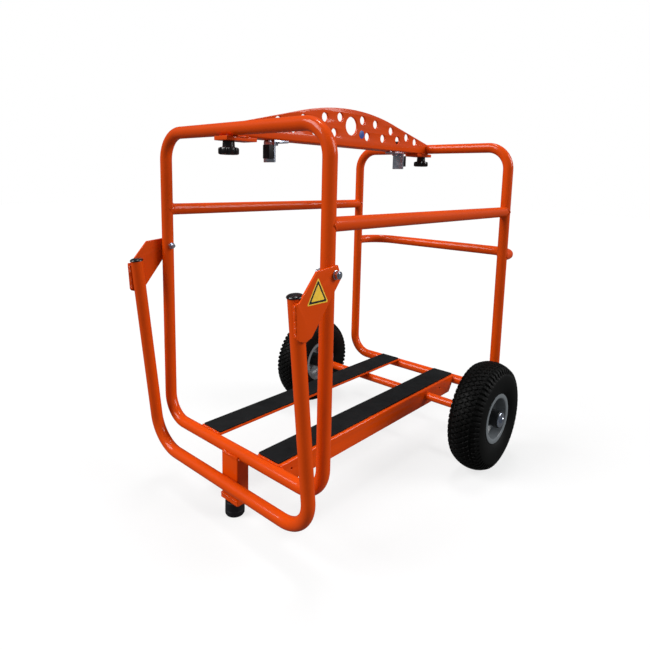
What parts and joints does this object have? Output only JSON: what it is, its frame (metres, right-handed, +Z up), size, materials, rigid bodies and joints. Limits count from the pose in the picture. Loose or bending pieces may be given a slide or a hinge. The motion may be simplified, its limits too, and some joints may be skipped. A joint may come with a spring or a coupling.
{
  "type": "engine stand",
  "caption": "Wheeled stand of bent orange tube with padded bearers, a perforated top beam with sliding hooks, pneumatic wheels and a swinging pull handle.",
  "frame": {"origin": "on the floor, at the middle of the overall box's base", "axes": "+X from the pull handle towards the wheels, +Y to the right-hand side when pulling, +Z up"},
  "size_m": [0.8768, 0.6656, 0.8464],
  "materials": {
    "orange_paint": "glossy orange powder coat",
    "pad_rubber": "matt dark grey rubber sheet",
    "moulded_rubber": "black moulded rubber",
    "tyre_rubber": "black tyre rubber",
    "inner_tube_rubber": "black butyl rubber",
    "grey_paint": "dark grey painted pressed steel",
    "bearing_steel": "shielded bearing, dark steel",
    "black_plastic": "glossy black moulded plastic",
    "zinc_plate": "bright bluish zinc plate",
    "blue_sticker": "blue vinyl disc",
    "yellow_sticker": "yellow vinyl triangle"
  },
  "bodies": {
    "frame": {"axle": "orange_paint", "axle_bolts": "zinc_plate", "axle_collars": "zinc_plate", "axle_washers": "zinc_plate", "beam_flange": "orange_paint", "beam_web": "orange_paint", "bearer_left": "orange_paint", "bearer_pad_left": "pad_rubber", "bearer_pad_right": "pad_rubber", "bearer_right": "orange_paint", "foot_bolt": "zinc_plate", "foot_plate": "orange_paint", "front_beam_foot": "orange_paint", "front_hoop": "orange_paint", "front_knob_insert": "zinc_plate", "leg_tube": "orange_paint", "pivot_bolts": "zinc_plate", "pivot_nuts": "zinc_plate", "pivot_washers": "zinc_plate", "rear_beam_foot": "orange_paint", "rear_handle": "orange_paint", "rear_hoop": "orange_paint", "rear_knob_insert": "zinc_plate", "round_sticker": "blue_sticker", "rubber_foot": "moulded_rubber", "side_bar_left": "orange_paint", "side_bar_right": "orange_paint"},
    "pull_handle": {"pull_handle_tube": "orange_paint", "handle_bracket_left": "orange_paint", "handle_bracket_right": "orange_paint", "handle_caps": "black_plastic", "triangle_sticker": "yellow_sticker"},
    "wheel_left": {"tyre_left": "tyre_rubber", "inner_tube_left": "inner_tube_rubber", "rim_outer_left": "grey_paint", "rim_inner_left": "grey_paint", "hub_tube_left": "grey_paint", "bearings_left": "bearing_steel", "rim_bolts_left": "zinc_plate", "valve_stem_left": "inner_tube_rubber"},
    "wheel_right": {"tyre_right": "tyre_rubber", "inner_tube_right": "inner_tube_rubber", "rim_outer_right": "grey_paint", "rim_inner_right": "grey_paint", "hub_tube_right": "grey_paint", "bearings_right": "bearing_steel", "rim_bolts_right": "zinc_plate", "valve_stem_right": "inner_tube_rubber"},
    "front_knob": {"front_knob_grip": "black_plastic", "front_knob_stud": "zinc_plate"},
    "rear_knob": {"rear_knob_grip": "black_plastic", "rear_knob_stud": "zinc_plate"},
    "front_hook": {"front_hook_bracket": "zinc_plate", "front_hook_block": "moulded_rubber", "front_clamp_screw": "zinc_plate"},
    "rear_hook": {"rear_hook_bracket": "zinc_plate", "rear_hook_block": "moulded_rubber", "rear_clamp_screw": "zinc_plate"},
    "front_clamp": {"front_clamp_knob": "black_plastic"},
    "rear_clamp": {"rear_clamp_knob": "black_plastic"}
  },
  "joints": [
    {"name": "handle_pivot", "type": "hinge", "parent": "frame", "child": "pull_handle", "pos_m": [-0.34913, 0, 0.5335], "axis": [0, 1, 0], "range_deg": [0, 95]},
    {"name": "wheel_left_spin", "type": "hinge", "parent": "frame", "child": "wheel_left", "pos_m": [0.18287, -0.285, 0.13], "axis": [0, 1, 0], "continuous": true},
    {"name": "wheel_right_spin", "type": "hinge", "parent": "frame", "child": "wheel_right", "pos_m": [0.18287, 0.285, 0.13], "axis": [0, 1, 0], "continuous": true},
    {"name": "front_knob_turn", "type": "hinge", "parent": "frame", "child": "front_knob", "pos_m": [-0.34913, 0.019, 0.74], "axis": [0, 0, 1], "continuous": true},
    {"name": "rear_knob_turn", "type": "hinge", "parent": "frame", "child": "rear_knob", "pos_m": [0.33187, 0.019, 0.74], "axis": [0, 0, 1], "continuous": true},
    {"name": "front_hook_slide", "type": "slide", "parent": "frame", "child": "front_hook", "axis": [1, 0, 0], "range_m": [-0.03, 0.08]},
    {"name": "rear_hook_slide", "type": "slide", "parent": "frame", "child": "rear_hook", "axis": [1, 0, 0], "range_m": [-0.0625, 0.0475]},
    {"name": "front_clamp_turn", "type": "hinge", "parent": "front_hook", "child": "front_clamp", "pos_m": [-0.23263, 0.017, 0.777], "axis": [0, 0, 1], "continuous": true},
    {"name": "rear_clamp_turn", "type": "hinge", "parent": "rear_hook", "child": "rear_clamp", "pos_m": [0.19787, 0.017, 0.777], "axis": [0, 0, 1], "continuous": true}
  ]
}
